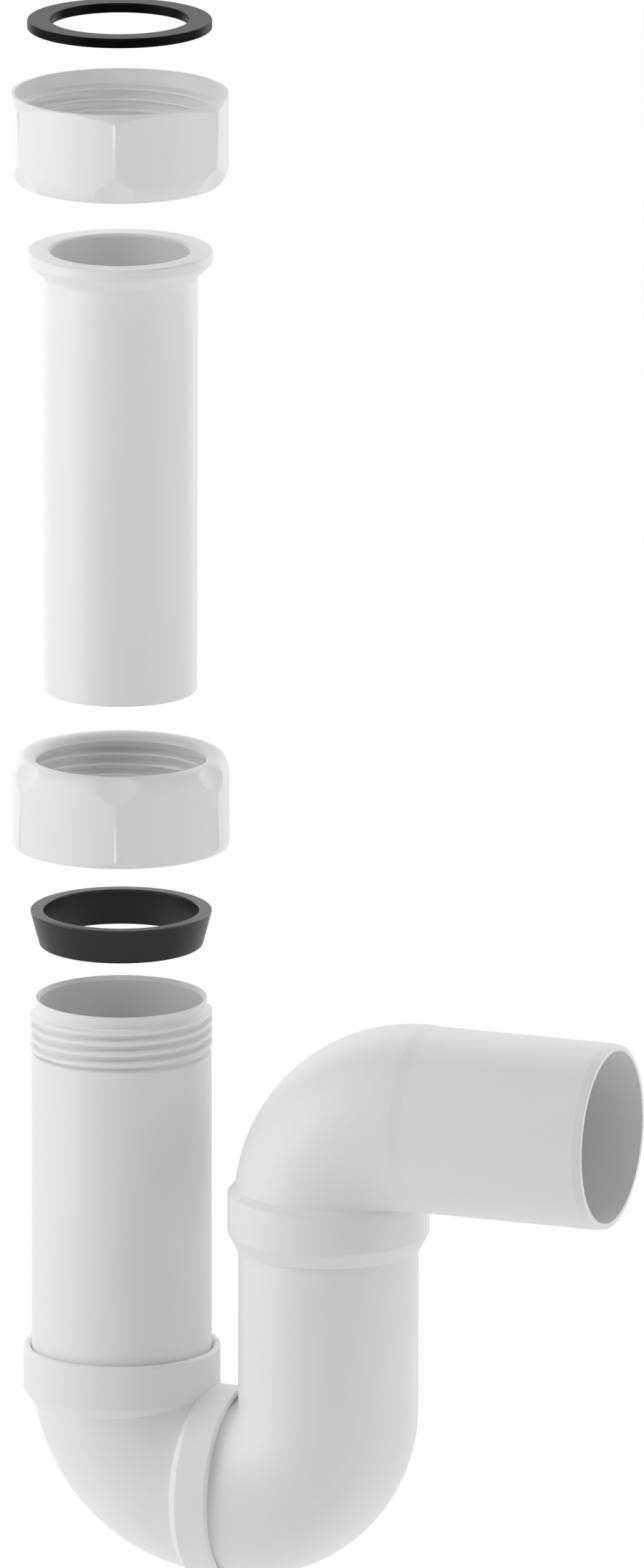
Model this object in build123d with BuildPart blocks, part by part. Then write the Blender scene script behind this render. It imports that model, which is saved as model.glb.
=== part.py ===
# Kitchen sink trap with its tailpiece, nuts and seals laid out along the inlet axis.
# Millimetres, +Z up. The inlet axis is Z, the outlet points along +X, and the origin is
# the upper edge of the first thread crest inside the sink nut.

import os
from math import cos, radians, sin

from build123d import *

os.makedirs("parts", exist_ok=True)

# Turn of every bend
quarter_turn = 90.0

# Gaps between pieces, all radial
slide_gap = 0.3
trap_thread_gap = 0.4
sink_thread_gap = 0.7
cement_gap = 0.15

# Tailpiece: the flanged tube that hangs from the sink
tube_od = 40.0
tube_wall = 1.8
tail_length = 118.0
flange_edge = 3.4
flange_slope = 2.8
flange_mouth_round = 1.2
flange_round = 0.8
tube_end_round = 0.4

# Trap pipe
bore_gap = 1.5
pipe_wall = 2.2
inlet_length = 104.0
inlet_mouth_flare = 0.6
inlet_mouth_depth = 1.0
rim_bevel = 0.35

# Thread shared by the inlet and both nuts
thread_rise = 0.2
thread_depth = 1.1
thread_pitch = 2.95
thread_turns = 4
crest_width = 0.8
ridge_flank = 0.6
thread_lead = 3.6
thread_runout = 0.4
relief_step = 1.0

# Union nuts, alike but for how far their thread crests stand in
nut_sides = 6
nut_height = 24.0
nut_wall = 2.5
nut_plate = 2.2
nut_hole_gap = 2.3
nut_corner_rise = 1.6
nut_corner_round = 0.8
nut_turn = -10.7
nut_mouth_depth = 4.5
nut_mouth_relief = 1.1
nut_thread_depth = 1.3
nut_dome_depth = 7.9
nut_dome_inset = 2.6
nut_dome_round = 2.0
nut_lip_bevel = 0.6
nut_mouth_bevel = 1.7

# Rubber pieces
washer_gap = 0.5
washer_thickness = 2.6
washer_reach = 0.2
washer_round = 0.4
seal_height = 9.4
seal_toe = 0.1
seal_toe_round = 0.9
seal_lip_round = 0.3

# Lower elbow: a bend with a socket at each end
lower_bend_inside = 5.3
bend_overlap = 3.5
socket_wall = 2.15
socket_mouth_bevel = 0.8
socket_round = 0.7
inlet_socket_depth = 10.0
inlet_socket_floor = 1.6
inlet_socket_bevel = 5.3
inlet_socket_drop = 3.6
riser_socket_depth = 8.0
riser_socket_floor = 0.8
riser_socket_bevel = 2.2
riser_socket_drop = 2.1

# Riser: a bend between two plain ends
riser_stub = 0.5
riser_bend_inside = 0.5
riser_height = 80.0

# Outlet elbow: a socket, a tight bend and a plain outlet
outlet_od = 49.0
outlet_wall = 1.8
outlet_reach = 79.3
outlet_bend_inside = 1.25
outlet_bend_overlap = 1.7
outlet_leg = 3.0
outlet_leg_rise = 0.25
outlet_end_bevel = 2.2
outlet_end_drop = 0.35
outlet_end_round = 0.4
outlet_socket_wall = 2.65
outlet_socket_depth = 12.5
outlet_socket_floor = 2.0
outlet_socket_bevel = 2.6
outlet_socket_drop = 2.6
outlet_socket_rim = 4.1
outlet_rim_wall = 0.45
outlet_socket_round = 0.9

# Spaces between the pieces along the axis, as they are laid out
washer_space = 17.0
sink_nut_space = 18.1
tail_space = 17.5
trap_nut_space = 17.9
seal_space = 14.3

# Radii, worked outwards from the tube
tube_r = tube_od / 2
tube_bore_r = tube_r - tube_wall
bore_r = tube_r + bore_gap
pipe_r = bore_r + pipe_wall
thread_r = pipe_r + thread_rise
thread_root_r = thread_r - thread_depth
inlet_mouth_r = bore_r + inlet_mouth_flare
nut_hole_r = tube_r + nut_hole_gap
trap_crest_r = thread_r + trap_thread_gap
sink_crest_r = thread_r + sink_thread_gap
nut_root_r = sink_crest_r + nut_thread_depth
nut_flat_r = nut_root_r + nut_wall
nut_corner_r = nut_flat_r + nut_corner_rise
nut_mouth_r = nut_root_r + nut_mouth_relief
flange_r = sink_crest_r - slide_gap
washer_r = sink_crest_r - washer_gap
washer_bore_r = tube_bore_r - washer_reach
seal_r = thread_r
seal_bore_r = tube_r + slide_gap
seal_toe_r = bore_r + seal_toe
socket_bore_r = pipe_r + cement_gap
socket_r = socket_bore_r + socket_wall
outlet_r = outlet_od / 2
outlet_bore_r = outlet_r - outlet_wall
outlet_leg_r = outlet_r + outlet_leg_rise
outlet_socket_r = socket_bore_r + outlet_socket_wall

# Bends, each from the radius of its inner side
lower_bend_radius = pipe_r + lower_bend_inside
riser_bend_radius = pipe_r + riser_bend_inside
outlet_bend_radius = outlet_leg_r + outlet_bend_inside

# Levels, worked downwards from the sink nut
sink_mouth_z = nut_mouth_depth
sink_nut_bottom_z = sink_mouth_z - nut_height
washer_z = sink_mouth_z + washer_space
tail_top_z = sink_nut_bottom_z - sink_nut_space
tail_bottom_z = tail_top_z - tail_length
trap_nut_top_z = tail_bottom_z - tail_space
trap_mouth_z = trap_nut_top_z - nut_height
seal_top_z = trap_mouth_z - trap_nut_space
seal_bottom_z = seal_top_z - seal_height
rim_z = seal_bottom_z - seal_space
inlet_end_z = rim_z - inlet_length
lower_bend_z = inlet_end_z + bend_overlap
u_z = lower_bend_z - lower_bend_radius
riser_top_z = u_z + riser_height
outlet_bend_z = riser_top_z - outlet_bend_overlap
outlet_z = outlet_bend_z + outlet_bend_radius

# Stations along X
riser_end_x = lower_bend_radius - bend_overlap
riser_rim_x = riser_end_x + riser_socket_depth
riser_bend_x = riser_rim_x + riser_stub
riser_x = riser_bend_x + riser_bend_radius
outlet_bend_x = riser_x + outlet_bend_radius
outlet_leg_x = outlet_bend_x + outlet_leg
outlet_end_x = riser_x + outlet_reach


def across(x, z):
    """Plane square to X, its local x along Y."""
    return Plane(origin=(x, 0, z), x_dir=(0, 1, 0), z_dir=(1, 0, 0))


def upright(x, z):
    """Plane through the object's plane of symmetry, its local y along Z."""
    return Plane(origin=(x, 0, z), x_dir=(1, 0, 0), z_dir=(0, -1, 0))


def level(x, z):
    """Plane square to Z."""
    return Plane(origin=(x, 0, z), x_dir=(1, 0, 0), z_dir=(0, 0, 1))


def thread_spots(crest_r, first_edge, way):
    """Where each thread ridge stands on a turned profile: crest radius and crest edge."""
    return [(crest_r, first_edge + way * turn * thread_pitch) for turn in range(thread_turns)]


# Flat washer between the sink's waste and the tailpiece's flange
with BuildPart() as sink_washer:
    with BuildSketch(Plane.XY.offset(washer_z)):
        Circle(washer_r)
        Circle(washer_bore_r, mode=Mode.SUBTRACT)
    extrude(amount=washer_thickness)
    fillet(sink_washer.edges().filter_by(GeomType.CIRCLE), washer_round)
sink_washer.part.label = "sink_washer"
export_step(sink_washer.part, "parts/sink_washer.step")

# Flanged tube: a turned profile with a sloped underside to the flange
with BuildPart() as tailpiece:
    with BuildSketch(Plane.XZ) as tail_profile:
        Polygon(
            (tube_bore_r, tail_bottom_z),
            (tube_r, tail_bottom_z),
            (tube_r, tail_top_z - flange_edge - flange_slope),
            (flange_r, tail_top_z - flange_edge),
            (flange_r, tail_top_z),
            (tube_bore_r, tail_top_z),
            align=None,
        )
        fillet(tail_profile.vertices().group_by(Axis.Y)[-1].sort_by(Axis.X)[:1], flange_mouth_round)
        fillet(tail_profile.vertices().group_by(Axis.X)[-1], flange_round)
        fillet(tail_profile.vertices().group_by(Axis.Y)[0], tube_end_round)
    revolve(axis=Axis.Z)
tailpiece.part.label = "tailpiece"
export_step(tailpiece.part, "parts/tailpiece.step")


def union_nut(mouth_z, way, crest_r):
    """Hexagon nut with bulged faces: way is 1 with its mouth up and -1 with its mouth down."""
    mouth = Plane(origin=(0, 0, mouth_z), x_dir=(1, 0, 0), z_dir=(0, 0, way))
    section = Plane(origin=(0, 0, mouth_z), x_dir=(1, 0, 0), z_dir=(0, -way, 0))
    side_turn = 360 / nut_sides
    corners = [way * (nut_turn + side_turn * k) for k in range(nut_sides)]
    dome_r = nut_corner_r - nut_dome_inset
    with BuildPart() as nut:
        # Six bulged faces, taken from the mouth to the closed end
        with BuildSketch(mouth) as outline:
            with BuildLine():
                for corner in corners:
                    half = corner + way * side_turn / 2
                    full = corner + way * side_turn
                    ThreePointArc(
                        (nut_corner_r * cos(radians(corner)), nut_corner_r * sin(radians(corner))),
                        (nut_flat_r * cos(radians(half)), nut_flat_r * sin(radians(half))),
                        (nut_corner_r * cos(radians(full)), nut_corner_r * sin(radians(full))),
                    )
            make_face()
            fillet(outline.vertices(), nut_corner_round)
        extrude(amount=-nut_height)
        # Domed closed end and bevelled mouth, which cut the corners back
        with BuildSketch(section) as dome:
            Polygon(
                (0, 0),
                (nut_flat_r, 0),
                (nut_flat_r + nut_mouth_bevel, -nut_mouth_bevel),
                (nut_corner_r, nut_dome_depth - nut_height),
                (dome_r, -nut_height),
                (0, -nut_height),
                align=None,
            )
            fillet(dome.vertices().group_by(Axis.Y)[0].sort_by(Axis.X)[-1:], nut_dome_round)
        revolve(axis=Axis.Z, mode=Mode.INTERSECT)
        # Open mouth, thread root and the hole through the closed end
        with BuildSketch(section):
            Polygon(
                (0, 0),
                (nut_mouth_r, 0),
                (nut_root_r, thread_depth - nut_mouth_depth),
                (nut_root_r, nut_plate - nut_height),
                (nut_hole_r, nut_plate - nut_height),
                (nut_hole_r, nut_lip_bevel - nut_height),
                (nut_hole_r + nut_lip_bevel, -nut_height),
                (0, -nut_height),
                align=None,
            )
        revolve(axis=Axis.Z, mode=Mode.SUBTRACT)
        # Thread ridges stand inwards from the root
        with BuildSketch(section):
            with Locations(*thread_spots(crest_r, -nut_mouth_depth, -1)):
                Polygon(
                    (0, 0),
                    (nut_root_r - crest_r, ridge_flank),
                    (nut_root_r - crest_r, -crest_width - ridge_flank),
                    (0, -crest_width),
                    align=None,
                )
        revolve(axis=Axis.Z)
    return nut


# Nut that holds the tailpiece's flange to the sink's waste
sink_nut = union_nut(sink_mouth_z, 1, sink_crest_r)
sink_nut.part.label = "sink_nut"
export_step(sink_nut.part, "parts/sink_nut.step")

# Nut that presses the cone seal into the trap's inlet
trap_nut = union_nut(trap_mouth_z, -1, trap_crest_r)
trap_nut.part.label = "trap_nut"
export_step(trap_nut.part, "parts/trap_nut.step")

# Cone seal: a tapered ring with a rounded toe
with BuildPart() as cone_seal:
    with BuildSketch(Plane.XZ) as seal_profile:
        Polygon(
            (seal_bore_r, seal_bottom_z),
            (seal_toe_r, seal_bottom_z),
            (seal_r, seal_top_z),
            (seal_bore_r, seal_top_z),
            align=None,
        )
        fillet(seal_profile.vertices().group_by(Axis.Y)[0].sort_by(Axis.X)[-1:], seal_toe_round)
        fillet(seal_profile.vertices().group_by(Axis.Y)[-1], seal_lip_round)
    revolve(axis=Axis.Z)
cone_seal.part.label = "cone_seal"
export_step(cone_seal.part, "parts/cone_seal.step")

# Inlet pipe: flared mouth, threaded top and a plain lower end
with BuildPart() as inlet_pipe:
    thread_end_z = rim_z - thread_lead - thread_turns * thread_pitch + crest_width - thread_runout
    with BuildSketch(Plane.XZ):
        Polygon(
            (bore_r, inlet_end_z),
            (pipe_r, inlet_end_z),
            (pipe_r, thread_end_z - relief_step),
            (thread_root_r, thread_end_z),
            (thread_root_r, rim_z - rim_bevel),
            (thread_root_r - rim_bevel, rim_z),
            (inlet_mouth_r, rim_z),
            (bore_r, rim_z - inlet_mouth_depth),
            align=None,
        )
        with Locations(*thread_spots(thread_r, rim_z - thread_lead, -1)):
            Polygon(
                (0, 0),
                (-thread_depth, ridge_flank),
                (-thread_depth, -crest_width - ridge_flank),
                (0, -crest_width),
                align=None,
            )
    revolve(axis=Axis.Z)
inlet_pipe.part.label = "inlet_pipe"
export_step(inlet_pipe.part, "parts/inlet_pipe.step")

# Lower elbow: the bend and the two socket collars, then their bores
with BuildPart() as lower_elbow:
    turning_axis = Axis((lower_bend_radius, 0, lower_bend_z), (0, -1, 0))
    inlet_collar_z = inlet_end_z - inlet_socket_floor
    riser_collar_x = riser_end_x - riser_socket_floor
    with BuildSketch(Plane.XY.offset(lower_bend_z)):
        Circle(pipe_r)
    revolve(axis=turning_axis, revolution_arc=quarter_turn)
    with BuildSketch(Plane.XZ) as inlet_collar:
        Polygon(
            (0, inlet_end_z + inlet_socket_depth),
            (socket_r, inlet_end_z + inlet_socket_depth),
            (socket_r, inlet_collar_z),
            (socket_r - inlet_socket_drop, inlet_collar_z - inlet_socket_bevel),
            (0, inlet_collar_z - inlet_socket_bevel),
            align=None,
        )
        fillet(inlet_collar.vertices().group_by(Axis.X)[-1], socket_round)
    revolve(axis=Axis.Z)
    with BuildSketch(upright(0, u_z)) as riser_collar:
        Polygon(
            (riser_rim_x, 0),
            (riser_rim_x, socket_r),
            (riser_collar_x, socket_r),
            (riser_collar_x - riser_socket_bevel, socket_r - riser_socket_drop),
            (riser_collar_x - riser_socket_bevel, 0),
            align=None,
        )
        fillet(riser_collar.vertices().group_by(Axis.Y)[-1], socket_round)
    revolve(axis=Axis((0, 0, u_z), (1, 0, 0)))
    with BuildSketch(Plane.XY.offset(lower_bend_z)):
        Circle(bore_r)
    revolve(axis=turning_axis, revolution_arc=quarter_turn, mode=Mode.SUBTRACT)
    with BuildSketch(Plane.XZ):
        Polygon(
            (0, inlet_end_z + inlet_socket_depth),
            (socket_bore_r + socket_mouth_bevel, inlet_end_z + inlet_socket_depth),
            (socket_bore_r, inlet_end_z + inlet_socket_depth - socket_mouth_bevel),
            (socket_bore_r, inlet_end_z),
            (0, inlet_end_z),
            align=None,
        )
    revolve(axis=Axis.Z, mode=Mode.SUBTRACT)
    with BuildSketch(upright(0, u_z)):
        Polygon(
            (riser_rim_x, 0),
            (riser_rim_x, socket_bore_r + socket_mouth_bevel),
            (riser_rim_x - socket_mouth_bevel, socket_bore_r),
            (riser_end_x, socket_bore_r),
            (riser_end_x, 0),
            align=None,
        )
    revolve(axis=Axis((0, 0, u_z), (1, 0, 0)), mode=Mode.SUBTRACT)
lower_elbow.part.label = "lower_elbow"
export_step(lower_elbow.part, "parts/lower_elbow.step")

# Riser: one pipe swept round the bend and up the second leg
with BuildPart() as riser_bend:
    with BuildLine():
        Line((riser_end_x, 0, u_z), (riser_bend_x, 0, u_z))
        ThreePointArc(
            (riser_bend_x, 0, u_z),
            (
                riser_bend_x + riser_bend_radius * sin(radians(quarter_turn / 2)),
                0,
                u_z + riser_bend_radius * (1 - cos(radians(quarter_turn / 2))),
            ),
            (riser_x, 0, u_z + riser_bend_radius),
        )
        Line((riser_x, 0, u_z + riser_bend_radius), (riser_x, 0, riser_top_z))
    with BuildSketch(across(riser_end_x, u_z)):
        Circle(pipe_r)
        Circle(bore_r, mode=Mode.SUBTRACT)
    sweep()
riser_bend.part.label = "riser_bend"
export_step(riser_bend.part, "parts/riser_bend.step")

# Outlet elbow: a bend so tight that its inner side is nearly a crease
with BuildPart() as outlet_elbow:
    riser_axis = Axis((riser_x, 0, 0), (0, 0, 1))
    outlet_turn = Axis((outlet_bend_x, 0, outlet_bend_z), (0, 1, 0))
    socket_rim_z = riser_top_z - outlet_socket_depth
    collar_top_z = riser_top_z + outlet_socket_floor
    with BuildSketch(upright(riser_x, 0)) as outlet_collar:
        Polygon(
            (0, socket_rim_z),
            (socket_bore_r + outlet_rim_wall, socket_rim_z),
            (outlet_socket_r, socket_rim_z + outlet_socket_rim),
            (outlet_socket_r, collar_top_z),
            (outlet_socket_r - outlet_socket_drop, collar_top_z + outlet_socket_bevel),
            (0, collar_top_z + outlet_socket_bevel),
            align=None,
        )
        fillet(outlet_collar.vertices().group_by(Axis.X)[-1], outlet_socket_round)
    revolve(axis=riser_axis)
    with BuildSketch(level(riser_x, outlet_bend_z)):
        Circle(outlet_leg_r)
    revolve(axis=outlet_turn, revolution_arc=quarter_turn)
    with BuildSketch(upright(0, outlet_z)) as outlet_spigot:
        Polygon(
            (outlet_bend_x, 0),
            (outlet_bend_x, outlet_leg_r),
            (outlet_leg_x, outlet_r),
            (outlet_end_x - outlet_end_bevel, outlet_r),
            (outlet_end_x, outlet_r - outlet_end_drop),
            (outlet_end_x, 0),
            align=None,
        )
        fillet(outlet_spigot.vertices().group_by(Axis.X)[-1].sort_by(Axis.Y)[-1:], outlet_end_round)
    revolve(axis=Axis((0, 0, outlet_z), (1, 0, 0)))
    with BuildSketch(level(riser_x, outlet_bend_z)):
        Circle(outlet_bore_r)
    revolve(axis=outlet_turn, revolution_arc=quarter_turn, mode=Mode.SUBTRACT)
    with BuildSketch(across(outlet_bend_x, outlet_z)):
        Circle(outlet_bore_r)
    extrude(amount=outlet_end_x - outlet_bend_x, mode=Mode.SUBTRACT)
    with BuildSketch(level(riser_x, riser_top_z)):
        Circle(socket_bore_r)
    extrude(amount=-outlet_socket_depth, mode=Mode.SUBTRACT)
outlet_elbow.part.label = "outlet_elbow"
export_step(outlet_elbow.part, "parts/outlet_elbow.step")
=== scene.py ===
# %% [markdown]
# A kitchen sink trap, laid out for fitting
#
# The real object is a U of white plastic pipe that keeps a little water standing under a sink,
# so that no smell comes up the drain. Above it stand the pieces that join it to the sink, taken
# apart along one axis: a flat washer, a union nut, a flanged tube, a second nut and a cone seal.
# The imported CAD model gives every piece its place. Here the pieces get what moulding gives them:
# rounded edges, true helical threads and a satin skin. Shapes are worked out in millimetres and
# turned to metres as they become meshes; the lamps and the floor are placed in metres.

# %% Load the frame
import math

import bpy
import numpy as np
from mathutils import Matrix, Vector


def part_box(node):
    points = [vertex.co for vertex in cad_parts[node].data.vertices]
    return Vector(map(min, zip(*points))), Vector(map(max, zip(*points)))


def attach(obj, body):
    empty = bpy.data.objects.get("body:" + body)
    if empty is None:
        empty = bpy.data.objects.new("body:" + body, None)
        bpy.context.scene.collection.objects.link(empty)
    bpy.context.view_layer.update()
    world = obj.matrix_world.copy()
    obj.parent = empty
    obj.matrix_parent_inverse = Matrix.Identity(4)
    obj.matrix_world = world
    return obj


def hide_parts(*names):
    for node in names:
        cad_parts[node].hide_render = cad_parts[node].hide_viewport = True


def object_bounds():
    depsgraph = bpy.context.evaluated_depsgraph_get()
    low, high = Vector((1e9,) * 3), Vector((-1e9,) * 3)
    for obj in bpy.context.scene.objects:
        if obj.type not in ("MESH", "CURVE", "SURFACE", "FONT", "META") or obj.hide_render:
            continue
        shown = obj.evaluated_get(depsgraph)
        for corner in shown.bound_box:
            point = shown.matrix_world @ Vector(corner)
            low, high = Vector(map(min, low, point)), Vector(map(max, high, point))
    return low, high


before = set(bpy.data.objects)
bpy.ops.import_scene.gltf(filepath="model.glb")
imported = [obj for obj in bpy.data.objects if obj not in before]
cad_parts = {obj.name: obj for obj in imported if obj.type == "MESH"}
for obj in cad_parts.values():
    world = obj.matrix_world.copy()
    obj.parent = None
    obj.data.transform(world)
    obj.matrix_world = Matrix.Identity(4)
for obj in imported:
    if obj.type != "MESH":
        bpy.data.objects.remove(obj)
cad_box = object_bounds()
MM = 0.001


# %% [markdown]
# Where each piece stands
#
# Every level comes from the CAD node's own box, in millimetres, so the dressed pieces can't drift
# away from the solids that they stand for.

# %% Levels from the CAD nodes
def span(node):
    """Lowest and highest corner of a CAD node in millimetres."""
    low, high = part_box(node)
    return np.array(low) / MM, np.array(high) / MM


washer_low, washer_high = span("sink_washer")
sink_nut_low, sink_nut_high = span("sink_nut")
tail_low, tail_high = span("tailpiece")
trap_nut_low = span("trap_nut")[0]
seal_low, seal_high = span("cone_seal")
inlet_low, inlet_high = span("inlet_pipe")
riser_low, riser_high = span("riser_bend")
rim_z = inlet_high[2]
inlet_end_z = inlet_low[2]
pipe_r = (riser_high[1] - riser_low[1]) / 2
print("inlet rim at", round(rim_z, 2), "inlet end at", round(inlet_end_z, 2), "pipe radius", round(pipe_r, 2))


# %% [markdown]
# Turned outlines
#
# A lathe needs only half a section, and so does most of this trap. An outline here is a closed
# loop of corners, each with a radius, a height and how far it is rounded. Spinning the loop gives
# a closed skin with both the outside and the bore. A bevel modifier could round the edges too,
# but the rounding belongs to the mould, so it is drawn into the outline.

# %% Rounded outlines
ARC_STEPS = 6
EDGE_SHARE = 0.49


def softened(corners):
    """Closed outline from corners of (radius, height, rounding), with an arc at each rounded one.

    A rounding takes no more than EDGE_SHARE of the edges beside it, so two never overlap.
    """
    points = []
    count = len(corners)
    for index, (radius, height, rounding) in enumerate(corners):
        here = np.array([radius, height], float)
        before = np.array(corners[index - 1][:2], float) - here
        after = np.array(corners[(index + 1) % count][:2], float) - here
        if rounding <= 0:
            points.append(here)
            continue
        before_length, after_length = np.linalg.norm(before), np.linalg.norm(after)
        before, after = before / before_length, after / after_length
        half_angle = math.acos(np.clip(before @ after, -1, 1)) / 2
        shorter = min(before_length, after_length)
        back = min(rounding / math.tan(half_angle), EDGE_SHARE * shorter)
        rounding = back * math.tan(half_angle)
        middle = before + after
        centre = here + middle / np.linalg.norm(middle) * rounding / math.sin(half_angle)
        start = here + before * back - centre
        end = here + after * back - centre
        sweep = math.pi - 2 * half_angle
        for step in range(ARC_STEPS + 1):
            share = step / ARC_STEPS
            turned = math.sin((1 - share) * sweep) * start + math.sin(share * sweep) * end
            points.append(centre + turned / math.sin(sweep))
    return np.array(points)


# %% Spun rings
PLAIN_STEPS = 192


def turn_steps(steps):
    """Evenly spread angles of one turn."""
    return np.linspace(-math.pi, math.pi, steps, endpoint=False)


def ring_points(radius, around, height):
    """Rows of points round Z, with radii, angles and heights first stretched to one grid."""
    radius, around, height = np.broadcast_arrays(radius, around, height)
    return np.stack([radius * np.cos(around), radius * np.sin(around), height], axis=2)


def spun(outline):
    """One plain ring for each point of an outline."""
    return ring_points(outline[:, :1], turn_steps(PLAIN_STEPS), outline[:, 1:])


# %% [markdown]
# Closed skins
#
# The rings become one mesh of four-cornered faces that has no hole, so its volume can be
# measured, and the sign of the volume tells whether the faces point out. Smooth shading alone
# would make flat stretches look swollen beside the small roundings, so a modifier lets the large
# faces lead. Each piece rides its body and takes the place of its CAD node.

# %% Closed skins
LARGE_FACE_WEIGHT = 60


def signed_volume(mesh):
    """Volume inside a closed mesh of four-cornered faces, below zero where they point inwards."""
    points = np.array([vertex.co for vertex in mesh.vertices])
    quads = np.array([face.vertices for face in mesh.polygons])
    a, b, c, d = (points[quads[:, corner]] for corner in range(4))
    six_volumes = (a * np.cross(b, c)).sum() + (a * np.cross(c, d)).sum()
    return float(six_volumes / 6)


def skin(name, rings, body, node):
    """Closed mesh from rings in millimetres, each joined to the next and the last to the first."""
    rows, columns = rings.shape[:2]
    row, column = np.meshgrid(np.arange(rows), np.arange(columns), indexing="ij")
    next_row, next_column = (row + 1) % rows, (column + 1) % columns
    corners = [row * columns + column, row * columns + next_column,
               next_row * columns + next_column, next_row * columns + column]
    faces = np.stack(corners, axis=2).reshape(-1, 4)
    mesh = bpy.data.meshes.new(name)
    mesh.from_pydata((rings.reshape(-1, 3) * MM).tolist(), [], faces.tolist())
    volume = signed_volume(mesh)
    if volume < 0:
        mesh.flip_normals()
    mesh.shade_smooth()
    piece = bpy.data.objects.new(name, mesh)
    bpy.context.scene.collection.objects.link(piece)
    weighted = piece.modifiers.new("even_shading", "WEIGHTED_NORMAL")
    weighted.mode = "FACE_AREA"
    weighted.weight = LARGE_FACE_WEIGHT
    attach(piece, body)
    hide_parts(node)
    print(name, "faces:", len(faces), "volume mm3:", round(abs(volume) / MM ** 3))
    return piece


# %% [markdown]
# Rubber washer
#
# A flat ring cut from rubber sheet. Its edges are only just broken, so the roundings are a few
# tenths of a millimetre.

# %% Washer
washer_r, washer_bore_r, washer_edge = washer_high[0], 18.0, 0.5
washer = skin("rubber_washer", spun(softened([
    (washer_bore_r, washer_low[2], washer_edge), (washer_r, washer_low[2], washer_edge),
    (washer_r, washer_high[2], washer_edge), (washer_bore_r, washer_high[2], washer_edge)])),
    "sink_washer", "sink_washer")


# %% [markdown]
# Flanged tube
#
# The tailpiece is an extruded tube whose upper end is formed into a flange: a flat ring on top
# for the washer, a thick rounded edge, and a sloped underside that the nut pulls on. The tube
# widens by a few tenths towards the flange, and a fillet leads from one into the other.

# %% Tailpiece
tube_r, tube_top_r, tube_bore_r, flange_r = 20.0, 20.3, 18.2, tail_high[0]
tail_top, tail_bottom = tail_high[2], tail_low[2]
neck_z, flange_edge_z = tail_top - 6.6, tail_top - 3.0
neck_fillet, flange_rounding = 2.0, 1.3
tailpiece = skin("flanged_tube", spun(softened([
    (tube_bore_r, tail_bottom, 0.4), (tube_r, tail_bottom, 0.5),
    (tube_top_r, neck_z, neck_fillet), (flange_r, flange_edge_z, flange_rounding),
    (flange_r, tail_top, 0.7), (tube_bore_r, tail_top, 1.0)])),
    "tailpiece", "tailpiece")


# %% [markdown]
# Cone seal
#
# A tapered rubber ring that the nut squeezes between the tube and the pipe's mouth. The wide
# flat end is up, and the toe that enters the pipe is rounded.

# %% Cone seal
seal_r, seal_toe_r, seal_bore_r, toe_rounding = 23.9, 21.4, 20.4, 1.2
cone_seal = skin("tapered_seal", spun(softened([
    (seal_bore_r, seal_low[2], 0.3), (seal_toe_r, seal_low[2], toe_rounding),
    (seal_r, seal_high[2], 0.35), (seal_bore_r, seal_high[2], 0.5)])),
    "cone_seal", "cone_seal")


# %% [markdown]
# Threads
#
# The CAD solids carry their threads as separate rings, which is enough for fit and collision. A
# real thread is one ridge that climbs by a pitch each turn. On a fine grid of rings that is easy
# to draw: a point's height and angle together say how far it is along the ridge, and its radius
# follows. The ridge dies away at both ends, as moulded threads do.

# %% Helical ridge
THREAD_PITCH = 2.85


def eased(share):
    """A share from 0 to 1 that leaves 0 and reaches 1 gently."""
    return share * share * (3 - 2 * share)


def ridge(height, around, anchor, top, bottom, crest_share, flank_share, fade):
    """0 in the groove and 1 on the crest of a right-handed thread that runs between two heights.

    The crest and each flank take their share of a pitch, and the ends fade over a length.
    """
    along = (height - anchor) / THREAD_PITCH - around / (2 * math.pi)
    off_crest = np.abs((along + 0.5) % 1.0 - 0.5)
    form = np.clip((crest_share / 2 + flank_share - off_crest) / flank_share, 0, 1)
    ends = np.clip((top - height) / fade, 0, 1) * np.clip((height - bottom) / fade, 0, 1)
    return eased(form) * eased(ends)


print("thread pitch", THREAD_PITCH, "mm")


# %% [markdown]
# Inlet pipe
#
# The pipe's mouth is thin and flared a little. Below a plain lead-in come four turns of thread,
# and then a step out to the pipe's full width. Only the threaded stretch needs fine rows, so the
# rest of the outline keeps the few points of its shape.

# %% Inlet outline
bore_r, thread_r, thread_root_r = 21.5, inlet_high[0], 22.1
step_low_z, step_high_z, lead_in_z = rim_z - 14.9, rim_z - 14.4, rim_z - 2.6
mouth_flare, mouth_bevel, bevel_z = 0.5, 0.6, rim_z - 1.2
pipe_outline = softened([
    (bore_r, inlet_end_z, 0.3), (pipe_r, inlet_end_z, 0.3),
    (pipe_r, step_low_z, 0.5), (thread_root_r, step_high_z, 0.3),
    (thread_root_r, lead_in_z, 0.5), (thread_root_r + mouth_flare, rim_z, 0.25),
    (bore_r + mouth_bevel, rim_z, 0.25), (bore_r, bevel_z, 0.5)])
print("inlet outline:", len(pipe_outline), "points, thread crest radius", round(thread_r, 2))

# %% Inlet thread
INLET_STEPS = 288
INLET_CREST_SHARE, INLET_FLANK_SHARE, INLET_FADE = 0.32, 0.13, 0.8
thread_top, thread_bottom, thread_anchor = rim_z - 2.9, rim_z - 14.5, rim_z - 3.6
fine_low, fine_high, fine_step = rim_z - 14.1, rim_z - 3.0, 0.09
first_fine = np.argmax(pipe_outline[:, 1] > fine_low)
fine_heights = np.arange(fine_low, fine_high, fine_step)
fine_rows = np.column_stack([np.full(len(fine_heights), thread_root_r), fine_heights])
pipe_outline = np.vstack([pipe_outline[:first_fine], fine_rows, pipe_outline[first_fine:]])
row = np.arange(len(pipe_outline))[:, None]
on_thread = (row >= first_fine) & (row < first_fine + len(fine_rows))
pipe_angles = turn_steps(INLET_STEPS)
pipe_radius, pipe_height = pipe_outline[:, :1], pipe_outline[:, 1:]
crest = ridge(pipe_height, pipe_angles, thread_anchor, thread_top, thread_bottom,
              INLET_CREST_SHARE, INLET_FLANK_SHARE, INLET_FADE)
pipe_radius = pipe_radius + np.where(on_thread, (thread_r - thread_root_r) * crest, 0)
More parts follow.
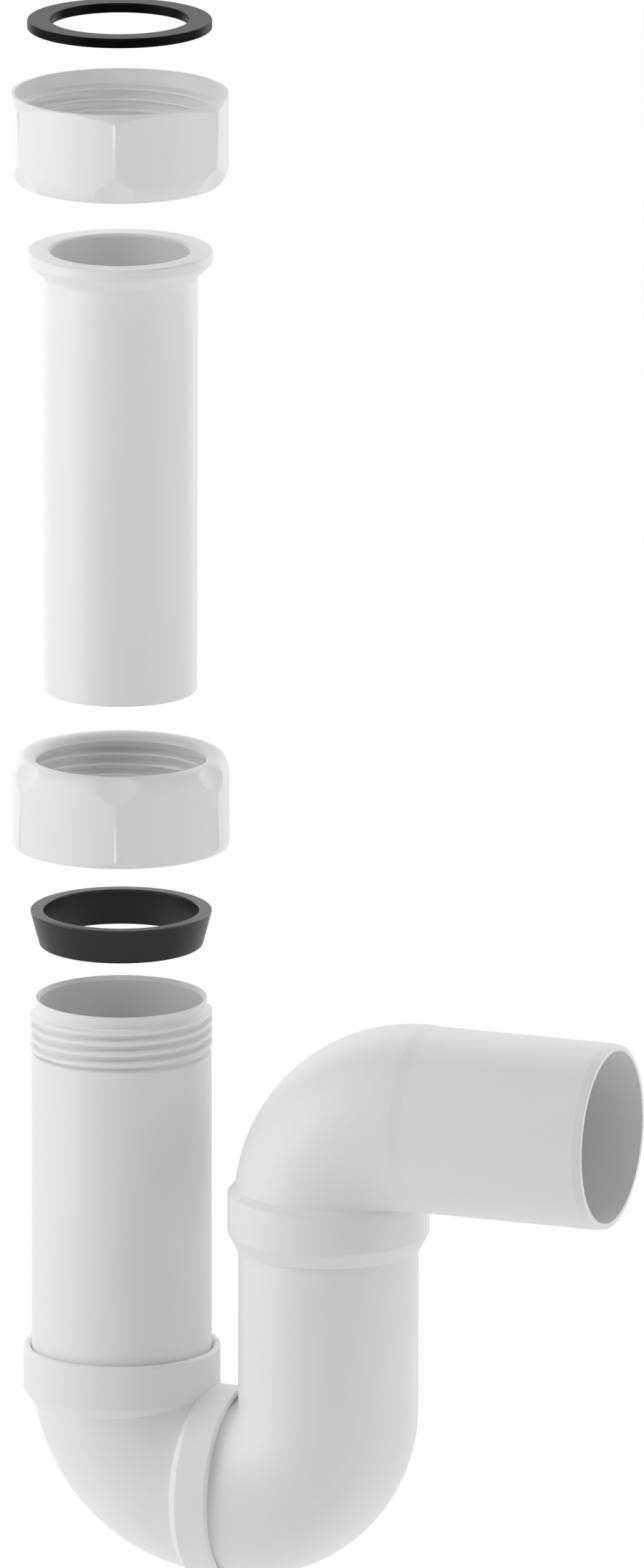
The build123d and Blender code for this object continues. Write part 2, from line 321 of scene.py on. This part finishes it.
inlet = skin("threaded_inlet", ring_points(pipe_radius, pipe_angles, pipe_height),
             "trap", "inlet_pipe")


# %% [markdown]
# Union nuts
#
# Both nuts are moulded hexagons with slightly bulged faces, and a thin bead grows along each
# corner towards the mouth. The closed end rolls over into a rounded lip round the hole for the
# tube, the corners there are cut back to hollow facets, and the mouth has a bevel. A hexagon and
# turned cutters could be intersected for this, but all their edges would come out sharp. Here the
# radius of each ring is the smallest of the hexagon's, the lip's or bevel's and the facet's at
# that depth, and the change from one to the next is blended.

# %% Hexagon
SIDES, SIDE_ANGLE = 6, math.pi / 3
NUT_TURN = math.radians(-10.7)
FACE_R, CORNER_R, FACE_BULGE_R = 28.4, 30.15, 47.7
CORNER_BLEND = 0.30


def soft_min(a, b, blend):
    """The smaller of two lengths, with the crease between them rounded over about blend."""
    share = np.clip(0.5 + 0.5 * (b - a) / blend, 0, 1)
    return b + (a - b) * share - blend * share * (1 - share)


def hexagon(around):
    """Radius of a hexagon with bulged faces, and the angle to its nearest corner."""
    bulge_centre = FACE_R - FACE_BULGE_R
    off_face = (around - NUT_TURN) % SIDE_ANGLE - SIDE_ANGLE / 2
    reach = []
    for angle in (off_face - SIDE_ANGLE, off_face, off_face + SIDE_ANGLE):
        half_chord = np.sqrt(FACE_BULGE_R ** 2 - (bulge_centre * np.sin(angle)) ** 2)
        reach.append(bulge_centre * np.cos(angle) + half_chord)
    radius = soft_min(soft_min(reach[0], reach[1], CORNER_BLEND), reach[2], CORNER_BLEND)
    return radius, SIDE_ANGLE / 2 - np.abs(off_face)


NUT_STEPS, CORNER_STEPS, CORNER_REACH = 252, 15, 1.4
near_corner = np.linspace(-CORNER_REACH, CORNER_REACH, CORNER_STEPS) / CORNER_R
corner_angles = NUT_TURN + np.arange(SIDES) * math.pi / 3
close_angles = (corner_angles[:, None] + near_corner + math.pi) % (2 * math.pi) - math.pi
nut_angles = np.unique(np.concatenate([turn_steps(NUT_STEPS), close_angles.ravel()]))
print("nut angles:", len(nut_angles), "closest at the six corners")

# %% Nut outline
NUT_HEIGHT = sink_nut_high[2] - sink_nut_low[2]
SIDE_R, NUT_EDGE = 30.6, 0.3
MOUTH_R, MOUTH_BORE_R, MOUTH_EDGE_DEPTH, BEVEL_DEPTH = 28.6, 27.2, 0.4, 2.7
LIP_R, ROLL_DEPTH, LIP_DEPTH, ROLL_STEPS = 25.0, 5.5, 2.3, 28
NUT_HOLE_R, NUT_ROOT_R, PLATE, LEAD_IN_DEPTH = 22.3, 26.4, 2.5, 3.6
ROW_STEP = 0.26


def nut_rows():
    """Closed outline of radius and depth below the mouth, in rows that are close enough for a thread.

    Outside, the radius is only the widest that the piece may be: SIDE_R clears the hexagon.
    """
    mouth = softened([
        (MOUTH_BORE_R, 0, NUT_EDGE), (MOUTH_R - NUT_EDGE, 0, NUT_EDGE), (MOUTH_R, MOUTH_EDGE_DEPTH, NUT_EDGE),
        (SIDE_R, BEVEL_DEPTH, NUT_EDGE), (SIDE_R, NUT_HEIGHT - ROLL_DEPTH, 0)])
    roll = np.linspace(0, math.pi / 2, ROLL_STEPS)[1:]
    shoulder = np.column_stack([LIP_R + (SIDE_R - LIP_R) * np.cos(roll),
                                NUT_HEIGHT - ROLL_DEPTH * (1 - np.sin(roll))])
    roll = roll[:-1]
    lip = np.column_stack([LIP_R - (LIP_R - NUT_HOLE_R) * np.sin(roll),
                           NUT_HEIGHT - LIP_DEPTH * (1 - np.cos(roll))])
    inside = softened([
        (NUT_HOLE_R, NUT_HEIGHT - LIP_DEPTH, 0), (NUT_ROOT_R, NUT_HEIGHT - PLATE, 0.5),
        (NUT_ROOT_R, LEAD_IN_DEPTH, 0.8), (MOUTH_BORE_R, 0, 0)])
    loop = np.vstack([mouth, shoulder, lip, inside[:-1]])
    rows = []
    for start, end in zip(loop, np.roll(loop, -1, axis=0)):
        pieces = max(1, math.ceil(abs(end[1] - start[1]) / ROW_STEP))
        rows += [start + (end - start) * step / pieces for step in range(pieces)]
    return np.array(rows)


nut_outline = nut_rows()
lip_top = np.argmin(np.abs(nut_outline - [LIP_R, NUT_HEIGHT]).sum(axis=1))
print("nut outline:", len(nut_outline), "rows, the first", lip_top + 1, "outside")

# %% Nuts
CORNER_BEAD, BEAD_WIDTH, BEAD_TOP, BEAD_GROWTH = 0.40, 0.45, 8.5, 11.0
FACET_TOP_R, FACET_SLOPE, FACET_HOLLOW = 26.0, 0.56, 2.0
EDGE_BLEND = 0.12
NUT_THREAD_DEPTHS = (3.2, 19.6)
NUT_CREST_SHARE, NUT_FLANK_SHARE, NUT_FADE = 0.22, 0.20, 1.3
SINK_NUT_CREST_R, TRAP_NUT_CREST_R = 24.6, 24.3


def nut_outside(limit, depth):
    """Radius of the nut's outside: hexagon and beads, rolled lip and corner facets, bevelled mouth."""
    flat, off_corner = hexagon(nut_angles)
    bead = np.exp(-(off_corner * CORNER_R / BEAD_WIDTH) ** 2)
    grown = np.clip((NUT_HEIGHT - BEAD_TOP - depth) / BEAD_GROWTH, 0, 1)
    side = flat + CORNER_BEAD * grown * bead
    rolled = LIP_R + (side - LIP_R) * np.clip((limit - LIP_R) / (SIDE_R - LIP_R), 0, 1)
    facet = (FACET_TOP_R + FACET_SLOPE * (NUT_HEIGHT - depth)) / np.cos(off_corner) ** FACET_HOLLOW
    closed_end = soft_min(rolled, facet, EDGE_BLEND)
    mouth_end = soft_min(limit, side, EDGE_BLEND)
    return np.where(depth > NUT_HEIGHT / 2, closed_end, mouth_end)


def union_nut(name, node, mouth_z, way, crest_r):
    """Nut with its mouth at mouth_z, open upwards where way is 1 and downwards where it is -1."""
    limit, depth = nut_outline[:, :1], nut_outline[:, 1:]
    level = mouth_z - way * depth
    bottom, top = sorted(mouth_z - way * end for end in NUT_THREAD_DEPTHS)
    crest = ridge(level, nut_angles, mouth_z, top, bottom, NUT_CREST_SHARE, NUT_FLANK_SHARE, NUT_FADE)
    inside = limit - (NUT_ROOT_R - crest_r) * crest
    outer = np.arange(len(nut_outline))[:, None] <= lip_top
    radius = np.where(outer, nut_outside(limit, depth), inside)
    return skin(name, ring_points(radius, nut_angles, level), node, node)


sink_nut = union_nut("sink_union_nut", "sink_nut", sink_nut_high[2], 1, SINK_NUT_CREST_R)
trap_nut = union_nut("trap_union_nut", "trap_nut", trap_nut_low[2], -1, TRAP_NUT_CREST_R)


# %% [markdown]
# Building materials from nodes
#
# A material is a small tree of nodes. Colours are picked as sRGB hex values, as on a screen, but
# shaders reckon in linear light, so one function turns the first into the second. Another adds
# any node with its settings and links in one line, which keeps each material short to read.

# %% Colours and nodes
def linear(hex_colour):
    """sRGB hex to the linear colour that the shader wants."""
    values = [int(hex_colour[i:i + 2], 16) / 255 for i in (1, 3, 5)]
    return [v / 12.92 if v <= 0.04045 else ((v + 0.055) / 1.055) ** 2.4 for v in values] + [1.0]


def add(tree, kind, links=(), **settings):
    """One node. Settings go to the input of that name, or else to the node itself.

    Links are pairs of an input, by its name or number, and the socket that feeds it.
    """
    node = tree.nodes.new(kind)
    for name, value in settings.items():
        label = name.replace("_", " ")
        if label in node.inputs:
            node.inputs[label].default_value = value
        else:
            setattr(node, name, value)
    for name, socket in links:
        tree.links.new(socket, node.inputs[name])
    return node


def empty_material(name):
    """New material and its node tree, with nothing in it yet."""
    material = bpy.data.materials.new(name)
    material.use_nodes = True
    material.node_tree.nodes.clear()
    return material, material.node_tree


print("white #FFFFFF in linear light:", linear("#FFFFFF"))


# %% [markdown]
# White plastic
#
# The pipes, nuts and elbows are injection-moulded PVC, coloured through. To the eye that is a
# clean white whose satin gloss wanders a little over a few centimetres, where the melt flowed,
# with a very faint orange peel from the tool at about a millimetre. The flow drives both the
# tint and the gloss, and the peel is a bump, since it is far too shallow to be modelled.

# %% White plastic
FLOW_MM, PEEL_MM, PEEL_DEPTH_MM = 40, 1.2, 0.05
plastic, tree = empty_material("moulded_white_pvc")
place = add(tree, "ShaderNodeTexCoord").outputs["Object"]
flow = add(tree, "ShaderNodeTexNoise", [("Vector", place)], Scale=1 / (FLOW_MM * MM), Detail=2.0)
tint = add(tree, "ShaderNodeMix", [("Factor", flow.outputs["Fac"])],
           data_type="RGBA", A=linear("#F2F2F1"), B=linear("#F5F5F4"))
gloss = add(tree, "ShaderNodeMapRange", [("Value", flow.outputs["Fac"])], To_Min=0.44, To_Max=0.54)
peel = add(tree, "ShaderNodeTexNoise", [("Vector", place)], Scale=1 / (PEEL_MM * MM), Detail=2.0)
relief = add(tree, "ShaderNodeBump", [("Height", peel.outputs["Fac"])],
             Strength=0.04, Distance=PEEL_DEPTH_MM * MM)
shader = add(tree, "ShaderNodeBsdfPrincipled",
             [("Base Color", tint.outputs["Result"]), ("Roughness", gloss.outputs["Result"]),
              ("Normal", relief.outputs["Normal"])], IOR=1.53)
add(tree, "ShaderNodeOutputMaterial", [("Surface", shader.outputs["BSDF"])])
print(plastic.name, "nodes:", len(tree.nodes))


# %% [markdown]
# Black rubber
#
# The washer is cut from rubber sheet and looks almost black, with hardly any sheen. The seal is
# moulded, a little greyer, and catches a soft light along its taper. Both have a cloudy bloom
# and a fine grain, so one function makes them with their own colours and sheen. The grain is
# drawn at half a millimetre, coarser than on the real rubber, so that it shows at all.

# %% Black rubber
BLOOM_MM, GRAIN_MM, GRAIN_DEPTH_MM = 12, 0.5, 0.05


def black_rubber(name, dark, light, roughness, sheen):
    """Rubber between two colours, with a given roughness and a given sheen seen straight on."""
    material, tree = empty_material(name)
    place = add(tree, "ShaderNodeTexCoord").outputs["Object"]
    bloom = add(tree, "ShaderNodeTexNoise", [("Vector", place)], Scale=1 / (BLOOM_MM * MM), Detail=3.0)
    tint = add(tree, "ShaderNodeMix", [("Factor", bloom.outputs["Fac"])],
               data_type="RGBA", A=linear(dark), B=linear(light))
    grain = add(tree, "ShaderNodeTexNoise", [("Vector", place)], Scale=1 / (GRAIN_MM * MM), Detail=3.0)
    relief = add(tree, "ShaderNodeBump", [("Height", grain.outputs["Fac"])],
                 Strength=0.15, Distance=GRAIN_DEPTH_MM * MM)
    shader = add(tree, "ShaderNodeBsdfPrincipled",
                 [("Base Color", tint.outputs["Result"]), ("Normal", relief.outputs["Normal"])],
                 Roughness=roughness, Specular_IOR_Level=sheen)
    add(tree, "ShaderNodeOutputMaterial", [("Surface", shader.outputs["BSDF"])])
    print(name, "nodes:", len(tree.nodes))
    return material


sheet_rubber = black_rubber("cut_black_rubber", "#020202", "#050505", 0.36, 0.045)
moulded_rubber = black_rubber("moulded_black_rubber", "#141414", "#242424", 0.36, 0.36)


# %% [markdown]
# Dressing the pieces
#
# The six pieces made above get their material here. The two bends and the outlet elbow already
# have their true form in the CAD model, so its own meshes stay and only change their material.

# %% Dress every piece
for piece in (tailpiece, inlet, sink_nut, trap_nut):
    piece.data.materials.append(plastic)
washer.data.materials.append(sheet_rubber)
cone_seal.data.materials.append(moulded_rubber)
CAD_PIECES = ("lower_elbow", "riser_bend", "outlet_elbow")
for node in CAD_PIECES:
    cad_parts[node].data.materials.clear()
    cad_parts[node].data.materials.append(plastic)
print("CAD meshes in", plastic.name + ":", ", ".join(CAD_PIECES))


# %% [markdown]
# Camera
#
# The photo is taken from far off with a long lens, a little above the pieces and turned a little
# from square. One pixel of its 900 x 2190 frame is 0.1874 mm at the inlet axis. The camera aims
# at the middle of the frame, found from the pixel where the axis crosses the inlet's rim.

# %% Camera
FRAME_PX = (900, 2190)
AXIS_PX, RIM_PX = 169, 1392
PIXEL = 0.1874
AZIMUTH, ELEVATION = math.radians(21.0), math.radians(14.2)
DISTANCE, SENSOR, FAR_CLIP_M = 8000, 36, 100


def direction(azimuth, elevation):
    """Unit vector towards a point at these angles, with the front of the part at azimuth 0."""
    flat = math.cos(elevation)
    return np.array([math.sin(azimuth) * flat, -math.cos(azimuth) * flat, math.sin(elevation)])


towards = direction(AZIMUTH, ELEVATION)
rightwards = np.array([math.cos(AZIMUTH), math.sin(AZIMUTH), 0])
aim = rightwards * (FRAME_PX[0] / 2 - AXIS_PX) * PIXEL
aim[2] = rim_z + (RIM_PX - FRAME_PX[1] / 2) * PIXEL / math.cos(ELEVATION)
camera_data = bpy.data.cameras.new("camera")
camera = bpy.data.objects.new("camera", camera_data)
bpy.context.scene.collection.objects.link(camera)
camera.location = Vector((aim + towards * DISTANCE) * MM)
camera.rotation_euler = Vector(-towards).to_track_quat("-Z", "Y").to_euler()
camera_data.sensor_width = SENSOR
camera_data.lens = SENSOR * DISTANCE / (FRAME_PX[1] * PIXEL)
camera_data.clip_end = FAR_CLIP_M
bpy.context.scene.camera = camera
print("camera at", [round(v, 3) for v in camera.location], "lens", round(camera_data.lens, 1))


# %% [markdown]
# Light
#
# White plastic on white needs soft light from all round and a darker middle. Two tall panels at
# the sides brighten the edges, two behind catch the rims, and three above fill the openings and
# the tops. Each is placed by its angles from the camera's side and faces the middle of the part.
# The watts are matched to the photo's greys.

# %% Panels
def panel(name, azimuth, elevation, distance, width, height, watts):
    """Area light that faces the middle of the object, placed by its angles from the camera's side.

    Angles are in degrees and lengths in metres.
    """
    data = bpy.data.lights.new(name, "AREA")
    data.shape = "RECTANGLE"
    data.size, data.size_y = width, height
    data.energy = watts
    lamp = bpy.data.objects.new(name, data)
    bpy.context.scene.collection.objects.link(lamp)
    way = Vector(direction(AZIMUTH + math.radians(azimuth), math.radians(elevation)))
    lamp.location = Vector((cad_box[0] + cad_box[1]) / 2) + way * distance
    lamp.rotation_euler = (-way).to_track_quat("-Z", "Y").to_euler()
    print(name, "at", [round(v, 2) for v in lamp.location], "watts", watts)


panel("left_panel", -80, 2, 1.0, 0.7, 1.4, 6.9)
panel("right_panel", 76, 2, 1.0, 0.5, 1.4, 5.2)
panel("left_back_panel", -145, 0, 1.0, 0.5, 1.4, 2.4)
panel("right_back_panel", 140, 0, 1.0, 0.5, 1.4, 4.0)
panel("left_top_panel", -70, 50, 1.0, 0.9, 0.9, 2.0)
panel("front_top_panel", 0, 45, 0.75, 0.6, 0.4, 1.1)
panel("back_top_panel", 180, 45, 1.0, 1.2, 0.9, 4.0)


# %% [markdown]
# White surroundings
#
# The background is white to the camera and in reflections, as in a light tent, but it gives no
# light of its own: the panels alone shade the part. The light path node tells which kind of ray
# is asking, and the largest of three yes-or-no answers switches the background on.

# %% World
world = bpy.data.worlds.new("white_tent")
bpy.context.scene.world = world
world.use_nodes = True
tree = world.node_tree
tree.nodes.clear()
ray = add(tree, "ShaderNodeLightPath").outputs
seen = add(tree, "ShaderNodeMath", [(0, ray["Is Camera Ray"]), (1, ray["Is Glossy Ray"])],
           operation="MAXIMUM")
shown = add(tree, "ShaderNodeMath", [(0, seen.outputs[0]), (1, ray["Is Transmission Ray"])],
            operation="MAXIMUM")
background = add(tree, "ShaderNodeBackground", [("Strength", shown.outputs[0])], Color=(1, 1, 1, 1))
add(tree, "ShaderNodeOutputWorld", [("Surface", background.outputs["Background"])])
print(world.name, "nodes:", len(tree.nodes))


# %% [markdown]
# Floor
#
# The part stands just above a wide pale sheet. To the camera the sheet is almost all glow, so it
# stays as white as the photo's background and keeps only a trace of shadow. To the part it is
# mostly a diffuse sheet that also glows, which lights the undersides of the bends.

# %% Floor
FLOOR_HALF, FLOOR_GAP = 3.0, 0.001
floor_z = cad_box[0][2] - FLOOR_GAP
floor_corners = [(-FLOOR_HALF, -FLOOR_HALF, floor_z), (FLOOR_HALF, -FLOOR_HALF, floor_z),
                 (FLOOR_HALF, FLOOR_HALF, floor_z), (-FLOOR_HALF, FLOOR_HALF, floor_z)]
floor_mesh = bpy.data.meshes.new("floor")
floor_mesh.from_pydata(floor_corners, [], [(0, 1, 2, 3)])
floor = bpy.data.objects.new("floor", floor_mesh)
bpy.context.scene.collection.objects.link(floor)
print("floor at", round(floor_z, 4))

# %% Floor material
pale, tree = empty_material("pale_floor")
from_camera = add(tree, "ShaderNodeLightPath").outputs["Is Camera Ray"]
lit = add(tree, "ShaderNodeBsdfDiffuse", Color=linear("#F4F4F4"))
strength = add(tree, "ShaderNodeMapRange", [("Value", from_camera)], To_Min=1.35, To_Max=1.0)
glow = add(tree, "ShaderNodeEmission", [("Strength", strength.outputs["Result"])], Color=(1, 1, 1, 1))
share = add(tree, "ShaderNodeMapRange", [("Value", from_camera)], To_Min=0.30, To_Max=0.985)
both = add(tree, "ShaderNodeMixShader",
           [("Fac", share.outputs["Result"]), (1, lit.outputs["BSDF"]), (2, glow.outputs["Emission"])])
add(tree, "ShaderNodeOutputMaterial", [("Surface", both.outputs["Shader"])])
floor_mesh.materials.append(pale)
print(pale.name, "nodes:", len(tree.nodes))


# %% [markdown]
# View
#
# The standard view shows colours as they are, with no film curve, so the white stays white.

# %% View settings
bpy.context.scene.view_settings.view_transform = "Standard"
